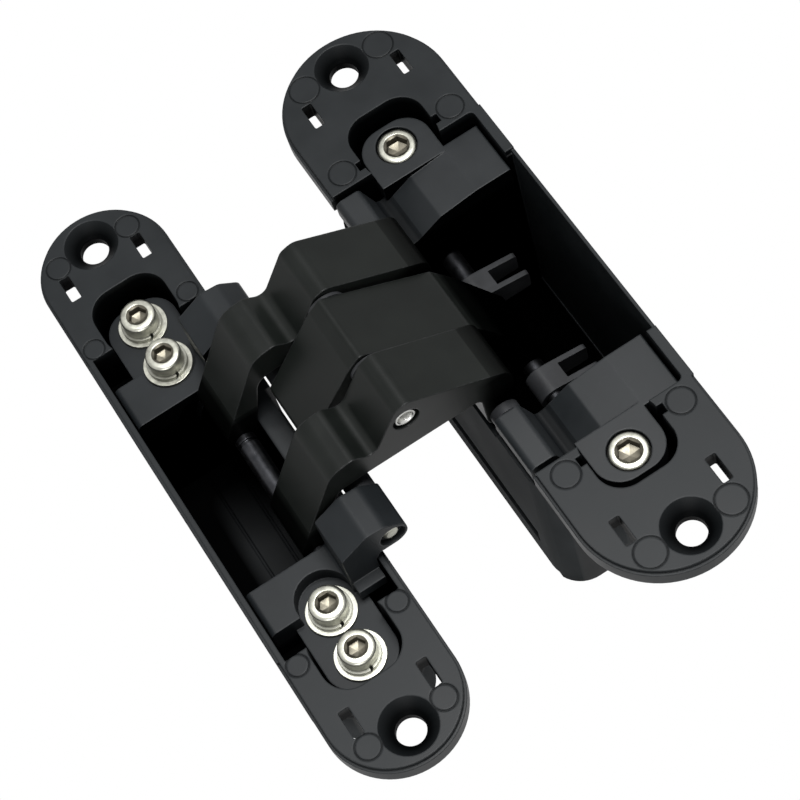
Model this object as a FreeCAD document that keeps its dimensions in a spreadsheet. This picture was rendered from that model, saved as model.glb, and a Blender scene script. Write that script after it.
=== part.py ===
import FreeCAD, Part
import math
import os

from FreeCAD import Base

Vector = Base.Vector

# Concealed door hinge, shown opened to 180 degrees, in millimetres.
# The origin is the centre of the door plate's face. +X runs from the frame half to the door half,
# +Y runs along the plates, and +Z points out of the plates' faces.

SIZES = [
    # Door plate and its housing
    ("door_length", 120.0),
    ("door_width", 30.0),
    ("door_thick", 4.0),
    ("door_depth", 47.0),
    ("door_deep_half", 34.6),
    ("door_deep_corner", 6.0),
    ("door_notch_half", 32.1),
    ("door_end_pocket_half", 7.3),
    ("door_end_pocket_end", 43.1),
    ("door_wall_low", 8.2),
    ("door_wall_shoulder", 7.1),
    ("door_lip_start", 21.5),
    ("door_thin_wall", 0.6),
    ("door_thin_half", 21.2),
    ("door_groove_half", 26.0),
    ("door_slot_station", 48.5),
    ("door_slot_across", 9.2),
    ("boss_floor", 5.0),
    # Frame plate and its housing
    ("frame_length", 120.0),
    ("frame_width", 23.4),
    ("frame_thick", 4.0),
    ("frame_depth", 31.0),
    ("frame_face_level", -5.8),
    ("frame_centre", -53.86),
    ("frame_deep_half", 35.4),
    ("frame_deep_corner", 3.5),
    ("frame_relief", 1.0),
    ("frame_relief_half", 12.0),
    ("frame_notch_half", 33.4),
    ("frame_end_pocket_half", 7.1),
    ("frame_end_pocket_end", 44.0),
    ("frame_bar_width", 4.9),
    ("frame_bar_low", 2.6),
    ("frame_bar_half", 16.6),
    ("frame_well_half", 24.0),
    ("frame_groove_half", 21.0),
    ("frame_slot_station", 48.4),
    ("frame_slot_across", 7.3),
    ("frame_tongue_thick", 5.4),
    # Shared plate features
    ("plate_step", 0.5),
    ("plate_land", 1.0),
    ("wall", 1.8),
    ("floor_thick", 1.4),
    ("end_corner", 4.8),
    ("fixing_pitch", 108.0),
    ("fixing_hole", 5.2),
    ("fixing_rim", 10.0),
    ("slot_width", 1.95),
    ("slot_length", 5.2),
    ("mark_groove", 0.28),
    ("mark_depth", 0.16),
    # Pivots of the linkage at 180 degrees
    ("door_pivot_x", -12.5),
    ("door_pivot_z", -3.3),
    ("frame_pivot_x", -39.4),
    ("frame_pivot_z", -0.8),
    ("centre_x", -28.3),
    ("centre_z", 13.0),
    ("frame_slide_x", -50.1),
    ("frame_slide_z", -10.9),
    ("door_slide_x", -1.5),
    ("door_slide_z", -19.0),
    ("fold_outer", 130.5),
    ("fold_middle", 57.25),
    # Pins, eyes and running parts
    ("pin_radius", 2.0),
    ("slide_eye", 2.7),
    ("slide_pin_radius", 1.9),
    ("running_gap", 0.05),
    ("bush_wall", 0.5),
    ("eye_radius", 3.1),
    ("lug_radius", 2.75),
    ("track_gap", 0.35),
    ("track_plate", 2.4),
    ("track_depth", 1.5),
    ("spacer_radius", 2.45),
    # Stations along the hinge
    ("middle_half", 6.4),
    ("arm_gap", 0.8),
    ("outer_outer", 18.0),
    ("frame_lug_gap", 0.7),
    ("frame_lug_long", 8.7),
    ("door_lug_gap", 1.9),
    ("door_lug_clearance", 1.1),
    ("shoe_gap", 2.2),
    ("shoe_thick", 5.2),
    ("shoe_reach", 9.2),
    # Adjustment
    ("lateral_down", 0.7),
    ("height_travel", 1.5),
    ("carriage_drop", 3.1),
    ("carriage_plate", 6.0),
    ("carriage_end", 40.9),
    ("carriage_half", 6.5),
    ("carriage_corner", 5.0),
    ("adjuster_station", 36.2),
    ("adjuster_head", 3.5),
    ("adjuster_head_height", 2.5),
    ("adjuster_length", 13.0),
    ("adjuster_socket", 3.6),
    # Frame clamp screws
    ("clamp_station_inner", 28.1),
    ("clamp_station_outer", 37.4),
    ("clamp_head_radius", 3.2),
    ("clamp_head_height", 2.9),
    ("clamp_length", 13.5),
    ("clamp_head_drop", 1.2),
    ("clamp_washer_radius", 4.4),
    ("clamp_washer_thick", 0.7),
    ("spring_washer_radius", 3.65),
    ("spring_washer_thick", 1.0),
    ("clamp_shank_radius", 2.0),
    ("socket_across", 3.0),
]

doc = FreeCAD.newDocument("concealed_hinge")
sheet = doc.addObject("Spreadsheet::Sheet", "Sizes")
# Sizes that follow from others: where the arms and lugs stand along the hinge, the level of the
# clamp washers' seat, and the ledge under the frame carriage
FOLLOWING = [
    ("outer_inner", "=middle_half + arm_gap"),
    ("frame_lug_inner", "=outer_outer + frame_lug_gap"),
    ("frame_lug_outer", "=outer_outer + frame_lug_gap + frame_lug_long"),
    ("door_lug_inner", "=outer_outer + door_lug_gap"),
    ("door_lug_outer", "=door_notch_half - door_lug_clearance"),
    ("shoe_inner", "=middle_half + shoe_gap"),
    ("clamp_stack", "=clamp_head_height + spring_washer_thick + clamp_washer_thick"),
    ("frame_seat_level", "=frame_face_level - clamp_head_drop - clamp_stack"),
    ("frame_ledge_level", "=frame_seat_level - frame_tongue_thick"),
]
for row, (alias, value) in enumerate(SIZES + FOLLOWING, start=1):
    sheet.set(f"A{row}", alias)
    sheet.set(f"B{row}", str(value))
    sheet.setAlias(f"B{row}", alias)
doc.recompute()


def size(alias):
    return float(sheet.get(alias))


def text(value):
    """A number as an expression, or a sheet alias as a reference to it."""
    if isinstance(value, (int, float)):
        return f"({value})"
    return value


def ref(alias):
    return f"Sizes.{alias}"


def bind(thing, places):
    for prop, value in places.items():
        thing.setExpression(prop, text(value))
    return thing


def number(value):
    """What an expression made of numbers, aliases and + - * / comes to."""
    probe = sheet.evalExpression(text(value)) if isinstance(value, str) else value
    return float(getattr(probe, "Value", probe))


# Outlines and solids

def rounded_edges(corners):
    """Lines and arcs round a polygon whose corners are (across, up, radius)."""
    count = len(corners)
    points = [Vector(c[0], c[1], 0) for c in corners]
    starts, ends, arcs = [], [], []
    for i, corner in enumerate(corners):
        here = points[i]
        back = (points[i - 1] - here).normalize()
        ahead = (points[(i + 1) % count] - here).normalize()
        if corner[2] <= 0:
            starts.append(here)
            ends.append(here)
            arcs.append(None)
            continue
        half = back.getAngle(ahead) / 2
        run = corner[2] / math.tan(half)
        first = here + back * run
        last = here + ahead * run
        bisector = (back + ahead).normalize()
        centre = here + bisector * (corner[2] / math.sin(half))
        middle = centre - bisector * corner[2]
        starts.append(first)
        ends.append(last)
        arcs.append(Part.Arc(first, middle, last))
    edges = []
    for i in range(count):
        if arcs[i]:
            edges.append(arcs[i])
        nxt = starts[(i + 1) % count]
        if ends[i].distanceToPoint(nxt) > 1e-6:
            edges.append(Part.LineSegment(ends[i], nxt))
    return edges


def prism(name, plane, corners, low, high):
    """A padded sketch: corners on the XY or the XZ plane, padded from low to high."""
    body = doc.addObject("PartDesign::Body", name)
    sketch = body.newObject("Sketcher::SketchObject", name + "_outline")
    role = plane + "_Plane"
    origin_plane = [f for f in body.Origin.OriginFeatures if f.Role == role][0]
    sketch.AttachmentSupport = [(origin_plane, "")]
    sketch.MapMode = "FlatFace"
    sketch.addGeometry(rounded_edges(corners), False)
    pad = body.newObject("PartDesign::Pad", name + "_pad")
    pad.Profile = sketch
    pad.setExpression("Length", f"({text(high)}) - ({text(low)})")
    if plane == "XY":
        bind(body, {"Placement.Base.z": low})
    else:
        bind(body, {"Placement.Base.y": high})
    return body


def rectangle(x_low, x_high, y_low, y_high, radius=0.0):
    radius = min(radius, (x_high - x_low) / 2 - 1e-3, (y_high - y_low) / 2 - 1e-3)
    return [
        (x_low, y_low, radius),
        (x_high, y_low, radius),
        (x_high, y_high, radius),
        (x_low, y_high, radius),
    ]


def block(name, x_span, y_span, z_span):
    box = doc.addObject("Part::Box", name)
    spans = zip(("Length", "Width", "Height"), "xyz", (x_span, y_span, z_span))
    for prop, letter, (low, high) in spans:
        box.setExpression(prop, f"({text(high)}) - ({text(low)})")
        box.setExpression(f"Placement.Base.{letter}", text(low))
    return box


def drum(name, axis, centre, radius, low, high):
    """A cylinder along Y or Z; centre is (x, z) for Y and (x, y) for Z."""
    cylinder = doc.addObject("Part::Cylinder", name)
    bind(cylinder, {"Radius": radius, "Height": f"({text(high)}) - ({text(low)})"})
    if axis == "Y":
        turn = FreeCAD.Rotation(Vector(1, 0, 0), -90)
        cylinder.Placement = FreeCAD.Placement(Vector(0, 0, 0), turn)
        places = {"Placement.Base.x": centre[0], "Placement.Base.z": centre[1], "Placement.Base.y": low}
    else:
        places = {"Placement.Base.x": centre[0], "Placement.Base.y": centre[1], "Placement.Base.z": low}
    return bind(cylinder, places)


def fuse(name, shapes):
    if len(shapes) == 1:
        return shapes[0]
    whole = doc.addObject("Part::MultiFuse", name)
    whole.Shapes = shapes
    whole.Refine = True
    return whole


def cut(name, base, tools):
    whole = doc.addObject("Part::Cut", name)
    whole.Base = base
    whole.Tool = fuse(name + "_tools", tools)
    whole.Refine = True
    return whole


NODES = {}


def keep(node, shape):
    """Name a finished sub-part; its Label is its file's name."""
    shape.Label = node
    NODES[node] = shape
    return shape


def side_span(side, low, high):
    """A span along Y, mirrored to -Y for the lower side."""
    if side > 0:
        return text(low), text(high)
    return f"-({text(high)})", f"-({text(low)})"


SIDES = (("upper", 1), ("lower", -1))

DOOR_PIVOT = (ref("door_pivot_x"), ref("door_pivot_z"))
FRAME_PIVOT = (ref("frame_pivot_x"), ref("frame_pivot_z"))
CENTRE = (ref("centre_x"), ref("centre_z"))
FRAME_SLIDE = (ref("frame_slide_x"), ref("frame_slide_z"))
DOOR_SLIDE = (ref("door_slide_x"), ref("door_slide_z"))


def point(name):
    return Vector(size(name + "_x"), size(name + "_z"), 0)


# The linkage's motion, used for the guide tracks

def turned(vector, degrees):
    """A vector of the X-Z plane turned about +Y, from +Z towards +X."""
    angle = math.radians(degrees)
    c, s = math.cos(angle), math.sin(angle)
    return Vector(vector.x * c + vector.y * s, -vector.x * s + vector.y * c, 0)


def linkage(share):
    """Where the two slide pins are in their own half, at a share of the fold."""
    door, frame, centre = point("door_pivot"), point("frame_pivot"), point("centre")
    outer = size("fold_outer") * share
    middle = size("fold_middle") * share
    whole = 180.0 * share
    centre_now = door + turned(centre - door, outer)
    frame_now = centre_now + turned(frame - centre, middle)
    door_slide = centre_now + turned(point("door_slide") - centre, middle)
    frame_slide = centre_now + turned(point("frame_slide") - centre, outer)
    frame_slide = frame + turned(frame_slide - frame_now, -whole)
    return door_slide, frame_slide


def track(name, which, radius, low, high):
    """A curved slot along a slide pin's path, with round ends."""
    steps = 16
    path = [linkage(i / steps)[which] for i in range(steps + 1)]
    middle_line = Part.makePolygon([Vector(p.x, low, p.y) for p in path])
    feature = doc.addObject("Part::Feature", name)
    outline = middle_line.makeOffset2D(radius, 0, False, False)
    feature.Shape = Part.Face(outline).extrude(Vector(0, high - low, 0))
    return feature


# Features both plates have

def countersinks(name, x, top, thick):
    tools = []
    rim = size("fixing_rim") / 2
    hole = size("fixing_hole") / 2
    for tag, side in SIDES:
        y = f"({side}) * {ref('fixing_pitch')} / 2"
        through = drum(f"{name}_{tag}_through", "Z", (x, y), f"{ref('fixing_hole')} / 2",
                       f"{text(top)} - {text(thick)} - 1", f"{text(top)} + 1")
        cone = doc.addObject("Part::Cone", f"{name}_{tag}_cone")
        bind(cone, {
            "Radius1": f"{ref('fixing_hole')} / 2",
            "Radius2": rim + 0.2,
            "Height": rim - hole + 0.2,
            "Placement.Base.x": x,
            "Placement.Base.y": y,
            "Placement.Base.z": f"{text(top)} - {rim - hole}",
        })
        tools += [through, cone]
    return tools


def small_slots(name, x, across, along, top, thick):
    tools = []
    for tag, side in SIDES:
        for hand in (-1, 1):
            centre = number(x) + hand * across
            half = size("slot_width") / 2
            low = side * along - size("slot_length") / 2
            corners = rectangle(centre - half, centre + half, low, low + size("slot_length"), 0.3)
            tools.append(prism(f"{name}_{tag}_{hand + 1}", "XY", corners,
                               f"{text(top)} - {text(thick)} - 1", f"{text(top)} + 1"))
    return tools


def ring_marks(name, places, top):
    """Round witness marks, engraved as fine circles."""
    tools = []
    depth = ref("mark_depth")
    for i, (x, y, radius) in enumerate(places):
        outer = drum(f"{name}_{i}_outer", "Z", (x, y), f"{radius} + {ref('mark_groove')} / 2",
                     f"{text(top)} - {depth}", f"{text(top)} + 1")
        inner = drum(f"{name}_{i}_inner", "Z", (x, y), f"{radius} - {ref('mark_groove')} / 2",
                     f"{text(top)} - {depth} - 1", f"{text(top)} + 2")
        tools.append(cut(f"{name}_{i}", outer, [inner]))
    return tools


# Door half: the housing

def door_housing():
    half = size("door_width") / 2
    end = size("door_length") / 2
    step = size("plate_step")
    wall = size("wall")
    deep = size("door_deep_half")
    corner = size("door_deep_corner")
    notch = size("door_notch_half")
    pocket = size("door_end_pocket_half")
    pocket_end = size("door_end_pocket_end")
    outer = half + step
    land = f"-{ref('plate_land')}"
    face = prism("door_face", "XY", rectangle(-half, half, -end, end, half), land, 0)
    flange = prism("door_flange", "XY", rectangle(-outer, outer, -end - step, end + step, outer),
                   f"-{ref('door_thick')}", land)
    box = prism("door_box", "XY", rectangle(-outer, outer, -deep, deep, corner),
                f"-{ref('door_depth')}", land)
    lips = prism("door_lips", "XY", rectangle(half - wall, outer, -notch - 0.3, notch + 0.3, 0),
                 f"-{ref('plate_land')} - 1", 0)
    # The shallow ends carry the adjusting screws
    tongue_low = size("carriage_drop") + size("carriage_plate") + size("lateral_down") + 0.3
    boss_low = tongue_low + size("boss_floor")
    screw_end = size("carriage_drop") + size("adjuster_length") + 2
    bosses = []
    for tag, side in SIDES:
        low, high = sorted((side * (deep - corner), side * (pocket_end + 2.5)))
        corners = rectangle(-pocket - 2.5, pocket + 2.5, low, high, 5.0)
        bosses.append(prism(f"door_boss_{tag}", "XY", corners, -boss_low, land))
    shell = fuse("door_shell", [face, flange, box, lips] + bosses)

    inside = half + step - wall
    cuts = [
        prism("door_pocket", "XY", rectangle(-inside, inside, -notch, notch, 1.0),
              f"{ref('floor_thick')} - {ref('door_depth')}", 1),
        block("door_wall_ends", (-outer - 1, -inside + 1), (-notch, notch),
              (f"-{ref('door_wall_shoulder')}", 1)),
        block("door_low_wall", (-outer - 1, -inside + 1),
              (f"-({ref('door_lug_inner')} - 0.5)", f"{ref('door_lug_inner')} - 0.5"),
              (f"-{ref('door_wall_low')}", 1)),
        block("door_wall_relief", (inside - 0.5, outer - size("door_thin_wall")),
              (f"-{ref('door_thin_half')}", ref("door_thin_half")),
              (f"{ref('floor_thick')} - {ref('door_depth')}", 1)),
        block("door_lip_rebate", (inside - 0.5, half - 0.1),
              (f"-{ref('door_lip_start')}", ref("door_lip_start")), (-1.3, 1)),
        block("door_lip_top", (half - 0.2, outer + 1),
              (f"-{ref('door_lip_start')}", ref("door_lip_start")), (-0.45, 1)),
        block("door_side_groove", (-outer - 1, -outer + 0.9),
              (f"-{ref('door_groove_half')}", ref("door_groove_half")),
              (f"7.2 - {ref('door_depth')}", f"11.6 - {ref('door_depth')}")),
        block("door_foot_step", (-outer - 1, -outer + 0.5), (-deep - 1, deep + 1),
              (f"-1 - {ref('door_depth')}", f"1.6 - {ref('door_depth')}")),
    ]
    for tag, side in SIDES:
        low, high = sorted((side * (notch - 3), side * pocket_end))
        corners = rectangle(-pocket, pocket, low, high, size("end_corner"))
        cuts.append(prism(f"door_end_pocket_{tag}", "XY", corners, -tongue_low, 1))
        cuts.append(drum(f"door_adjuster_hole_{tag}", "Z", (0, f"({side}) * {ref('adjuster_station')}"),
                         f"{ref('clamp_shank_radius')} + 0.25", -max(boss_low, screw_end) - 1,
                         -tongue_low + 1))
        for hand in (-1, 1):
            bite_x = sorted((hand * (pocket - 0.5), hand * (pocket + 1.1)))
            bite_y = sorted((side * (notch + 1.6), side * (notch + 3.4)))
            cuts.append(block(f"door_bite_{tag}_{hand + 1}", bite_x, bite_y, (-tongue_low, 1)))
    cuts += countersinks("door_fixing", 0, 0, ref("door_thick"))
    cuts += small_slots("door_slot", 0, size("door_slot_across"), size("door_slot_station"), 0,
                        ref("door_thick"))
    marks = [(hand * 7.7, side * 54.1, 2.75) for hand in (-1, 1) for side in (-1, 1)]
    marks += [(hand * 11.1, side * 35.2, 2.45) for hand in (-1, 1) for side in (-1, 1)]
    cuts += ring_marks("door_mark", marks, 0)
    return keep("door_housing", cut("door_housing_solid", shell, cuts))


# Door half: the carriages that carry the arms' pivots

def door_carriage(tag, side):
    top = -size("carriage_drop")
    pivot = point("door_pivot")
    lug = size("lug_radius")
    inside = size("door_width") / 2 + size("plate_step") - size("wall") - 0.3
    base = top - size("carriage_plate")
    foot = size("floor_thick") - size("door_depth") + size("lateral_down") + 0.3
    notch = size("door_notch_half")
    low, high = side_span(side, ref("door_lug_inner"), ref("door_lug_outer"))
    wave = [
        (0.4 - inside, base, 0.3),
        (0.4 - inside, pivot.y - lug, 0.2),
        (pivot.x - lug, pivot.y - lug, 2.0),
        (pivot.x - lug, pivot.y + lug, 1.2),
        (pivot.x + 2.0, pivot.y + lug, 1.0),
        (pivot.x + 4.4, top - 4.4, 1.0),
        (pivot.x + 6.4, top - 3.9, 1.4),
        (-1.2, top - 1.1, 1.0),
        (6.3, top, 2.0),
        (inside, top, 0.3),
        (inside, base, 0.5),
    ]
    crown = prism(f"door_crown_{tag}", "XZ", wave, low, high)
    cheek_low, cheek_high = side_span(side, ref("door_lug_inner"),
                                      f"{ref('door_lug_inner')} + {ref('track_plate')}")
    cheek = prism(f"door_cheek_{tag}", "XZ",
                  rectangle(-inside + 0.4, inside, foot, base + 1, 1.5), cheek_low, cheek_high)
    spine_low, spine_high = side_span(side, ref("door_lug_inner"), ref("door_lug_outer"))
    spine = block(f"door_spine_{tag}", (inside - 3.0, inside), (spine_low, spine_high), (foot + 6, base + 1))
    y_inner = size("door_lug_outer") - 1.0
    y_outer = size("carriage_end")
    half = size("carriage_half")
    ends = sorted((side * y_inner, side * y_outer))
    tongue = rectangle(-half, half, ends[0], ends[1], 0)
    round_at = (2, 3) if side > 0 else (0, 1)
    corner = min(size("carriage_corner"), half - 0.05)
    tongue = [(x, y, corner if i in round_at else 0) for i, (x, y, r) in enumerate(tongue)]
    plate = prism(f"door_tongue_{tag}", "XY", tongue, base, top)
    whole = fuse(f"door_carriage_{tag}_blank", [crown, cheek, spine, plate])

    station = f"({side}) * {ref('adjuster_station')}"
    pin_low, pin_high = side_span(side, f"{ref('door_lug_inner')} - 1", f"{ref('door_lug_outer')} - 1.2")
    tools = [
        drum(f"door_screw_recess_{tag}", "Z", (0, station), f"{ref('adjuster_head')} + 0.25",
             f"{top} - {ref('adjuster_head_height')} - 0.1", top + 1),
        drum(f"door_screw_bore_{tag}", "Z", (0, station), ref("clamp_shank_radius"), base - 1, top),
        drum(f"door_pin_bore_{tag}", "Y", DOOR_PIVOT, ref("pin_radius"), pin_low, pin_high),
    ]
    reach = size("slide_pin_radius") + size("track_gap")
    near, far = size("door_lug_inner") - 1, size("door_lug_inner") + size("track_plate") + 1
    spread = sorted((side * near, side * far))
    tools.append(track(f"door_track_{tag}", 0, reach, spread[0], spread[1]))
    return keep(f"door_carriage_{tag}", cut(f"door_carriage_{tag}_solid", whole, tools))


def socket_screw(node, centre, top, head_radius, head_height, length, across, chamfer):
    """A screw with a round head and a hexagon socket, its axis along Z."""
    head = drum(node + "_head", "Z", centre, head_radius, f"{text(top)} - {text(head_height)}", top)
    shank = drum(node + "_shank", "Z", centre, ref("clamp_shank_radius"),
                 f"{text(top)} - {text(length)}", f"{text(top)} - {text(head_height)}")
    blank = fuse(node + "_blank", [head, shank])
    socket = doc.addObject("Part::Prism", node + "_socket")
    socket.Polygon = 6
    bind(socket, {
        "Circumradius": f"{across} / sqrt(3)",
        "Height": 3,
        "Placement.Base.x": centre[0],
        "Placement.Base.y": centre[1],
        "Placement.Base.z": f"{text(top)} - 1.9",
    })
    bevel = doc.addObject("Part::Cone", node + "_bevel")
    bind(bevel, {
        "Radius1": f"{text(head_radius)} - {chamfer}",
        "Radius2": f"{text(head_radius)} - {chamfer} + 2",
        "Height": 2,
        "Placement.Base.x": centre[0],
        "Placement.Base.y": centre[1],
        "Placement.Base.z": text(top),
    })
    return keep(node, cut(node + "_solid", blank, [socket, bevel]))


def spring_washer(node, station):
    """A split lock washer between a clamp screw's head and its flat washer."""
    centre = size("frame_centre")
    y = number(station)
    low = size("frame_seat_level") + size("clamp_washer_thick")
    high = low + size("spring_washer_thick")
    where = (ref("frame_centre"), station)
    ring = drum(node + "_ring", "Z", where, ref("spring_washer_radius"), low, high)
    hole = drum(node + "_hole", "Z", where, f"{ref('clamp_shank_radius')} + 0.15", low - 1, high + 1)
    slant = [
        (centre - 0.75, low - 0.3, 0),
        (centre - 0.25, low - 0.3, 0),
        (centre + 0.75, high + 0.3, 0),
        (centre + 0.25, high + 0.3, 0),
    ]
    split = prism(node + "_split", "XZ", slant, y - size("spring_washer_radius") - 1, y)
    return keep(node, cut(node + "_solid", ring, [hole, split]))


# Arms

def outer_arm(tag, side):
    door, frame, centre = point("door_pivot"), point("frame_pivot"), point("centre")
    slide = point("frame_slide")
    eye = size("eye_radius")
    foot = size("slide_eye")
    under = centre.y - 8.6
    outline = [
        (door.x - eye, door.y - eye, eye - 0.02),
        (door.x - eye, under, 1.6),
        (frame.x + 2.0, under, 1.0),
        (frame.x - 4.3, under - 0.4, 3.2),
        (slide.x + foot + 0.1, slide.y + 1.0, 1.0),
        (slide.x + foot, slide.y - foot, foot - 0.02),
        (slide.x - foot, slide.y - foot, foot - 0.02),
        (slide.x - foot, slide.y + 3.0, 2.0),
        (centre.x - 14.8, centre.y - 2.7, 4.0),
        (centre.x - 10.4, centre.y - 2.1, 1.8),
        (centre.x - 6.9, centre.y - 4.8, 1.8),
        (centre.x - 1.5, centre.y + 3.9, 1.8),
        (centre.x + 0.9, centre.y + 4.7, 2.4),
        (door.x + eye, door.y + 10.8, 3.4),
        (door.x + eye, door.y - eye, eye - 0.02),
    ]
    low, high = side_span(side, ref("outer_inner"), ref("outer_outer"))
    blank = prism(f"outer_arm_{tag}_blank", "XZ", outline, low, high)
    pin = ref("pin_radius")
    long_low, long_high = side_span(side, f"{ref('outer_inner')} - 1", f"{ref('outer_outer')} + 1")
    mouth_low, mouth_high = side_span(side, f"{ref('outer_outer')} - 0.9", f"{ref('outer_outer')} + 1")
    tools = [
        drum(f"outer_arm_{tag}_door_bore", "Y", DOOR_PIVOT, f"{pin} + {ref('bush_wall')}",
             long_low, long_high),
        drum(f"outer_arm_{tag}_centre_bore", "Y", CENTRE, pin, long_low, long_high),
        drum(f"outer_arm_{tag}_centre_mouth", "Y", CENTRE, f"{pin} + 0.4", mouth_low, mouth_high),
        drum(f"outer_arm_{tag}_slide_bore", "Y", FRAME_SLIDE, ref("slide_pin_radius"), long_low, long_high),
    ]
    return keep(f"outer_arm_{tag}", cut(f"outer_arm_{tag}_solid", blank, tools))


def middle_arm():
    door, frame, centre = point("door_pivot"), point("frame_pivot"), point("centre")
    slide = point("door_slide")
    eye = size("eye_radius")
    foot = size("slide_eye")
    under = centre.y - 8.6
    outline = [
        (frame.x - eye, frame.y - eye, eye - 0.02),
        (frame.x - eye, frame.y + 2.0, 1.0),
        (centre.x - 3.2, centre.y + 2.4, 2.0),
        (centre.x - 0.9, centre.y + 4.4, 1.2),
        (centre.x + 18.2, centre.y - 7.3, 2.2),
        (centre.x + 21.6, centre.y - 13.0, 3.5),
        (slide.x + foot, slide.y + 3.0, 2.0),
        (slide.x + foot, slide.y - foot, foot - 0.02),
        (slide.x - foot, slide.y - foot, foot - 0.02),
        (slide.x - foot - 0.1, slide.y + 2.5, 2.0),
        (door.x + 3.4, door.y + 3.6, 3.0),
        (door.x - 2.4, door.y + 3.8, 1.0),
        (door.x - 5.4, under, 2.0),
        (frame.x + eye, under - 0.6, 1.6),
        (frame.x + eye, frame.y - eye, eye - 0.02),
    ]
    blank = prism("middle_arm_blank", "XZ", outline, f"-{ref('middle_half')}", ref("middle_half"))
    reach = (f"-{ref('middle_half')} - 1", f"{ref('middle_half')} + 1")
    tools = [
        drum("middle_arm_frame_bore", "Y", FRAME_PIVOT, f"{ref('pin_radius')} + {ref('bush_wall')}", *reach),
        drum("middle_arm_centre_bore", "Y", CENTRE, f"{ref('pin_radius')} + {ref('bush_wall')}", *reach),
        drum("middle_arm_slide_bore", "Y", DOOR_SLIDE, ref("slide_pin_radius"), *reach),
    ]
    return keep("middle_arm", cut("middle_arm_solid", blank, tools))


# Pins, bushes, washers and slide shoes on the pivots' axes

def plain_pin(node, centre, radius, half_length, bevel, hollow=None):
    """A ground pin with bevelled ends, drilled at both ends where it is a hollow rivet."""
    rod = drum(node + "_rod", "Y", centre, radius, f"-({text(half_length)})", half_length)
    pin = doc.addObject("Part::Chamfer", node + "_bevels")
    pin.Base = rod
    pin.Edges = [(1, bevel, bevel), (3, bevel, bevel)]
    if hollow is None:
        return keep(node, pin)
    drills = []
    for tag, side in SIDES:
        low, high = side_span(side, f"{text(half_length)} - 1.6", f"{text(half_length)} + 1")
        drills.append(drum(f"{node}_drill_{tag}", "Y", centre, hollow, low, high))
    return keep(node, cut(node + "_solid", pin, drills))


def sleeve(node, centre, inner, outer, low, high):
    """A plain tube about Y."""
    body = drum(node + "_outer", "Y", centre, outer, low, high)
    bore = drum(node + "_bore", "Y", centre, inner, f"{low} - 1", f"{high} + 1")
    return keep(node, cut(node + "_solid", body, [bore]))


def flanged_bush(node, centre, low, high, flange_low, flange_high):
    """A bush that lines an arm's eye, with a thrust flange at its outer end."""
    pin = ref("pin_radius")
    body = drum(node + "_body", "Y", centre, f"{pin} + {ref('bush_wall')}", low, high)
    flange = drum(node + "_flange", "Y", centre, f"{ref('lug_radius')} - 0.15", flange_low, flange_high)
    blank = fuse(node + "_blank", [body, flange])
    ends = sorted((number(low), number(high), number(flange_low), number(flange_high)))
    bore = drum(node + "_bore", "Y", centre, f"{pin} + {ref('running_gap')}", ends[0] - 1, ends[-1] + 1)
    return keep(node, cut(node + "_solid", blank, [bore]))


def door_shoe(tag, side):
    """A slide shoe: a ring on the slide pin and a forked foot towards the housing's wall."""
    slide = point("door_slide")
    ring = size("slide_pin_radius") + 0.9
    reach = size("shoe_reach")
    low, high = side_span(side, ref("shoe_inner"), f"{ref('shoe_inner')} + {ref('shoe_thick')}")
    web = [
        (slide.x + 0.2, slide.y - ring, 0.4),
        (slide.x + reach, slide.y - ring, 0.6),
        (slide.x + reach, slide.y + 1.4, 0.6),
        (slide.x + 0.2, slide.y + ring, 0.4),
    ]
    body = prism(f"door_shoe_{tag}_web", "XZ", web, low, high)
    eye = drum(f"door_shoe_{tag}_eye", "Y", DOOR_SLIDE, ring, low, high)
    whole = fuse(f"door_shoe_{tag}_blank", [body, eye])
    fork_low, fork_high = side_span(side, f"{ref('shoe_inner')} + 1",
                                    f"{ref('shoe_inner')} + {ref('shoe_thick')} - 1")
    fork = block(f"door_shoe_{tag}_fork", (slide.x + ring + 0.6, slide.x + reach + 1),
                 (fork_low, fork_high), (slide.y - ring - 3, slide.y + ring + 3))
    long_low, long_high = side_span(side, f"{ref('shoe_inner')} - 1",
                                    f"{ref('shoe_inner')} + {ref('shoe_thick')} + 1")
    bore = drum(f"door_shoe_{tag}_bore", "Y", DOOR_SLIDE, f"{ref('slide_pin_radius')} + {ref('running_gap')}",
                long_low, long_high)
    return keep(f"door_shoe_{tag}", cut(f"door_shoe_{tag}_solid", whole, [fork, bore]))


# Frame half

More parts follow.
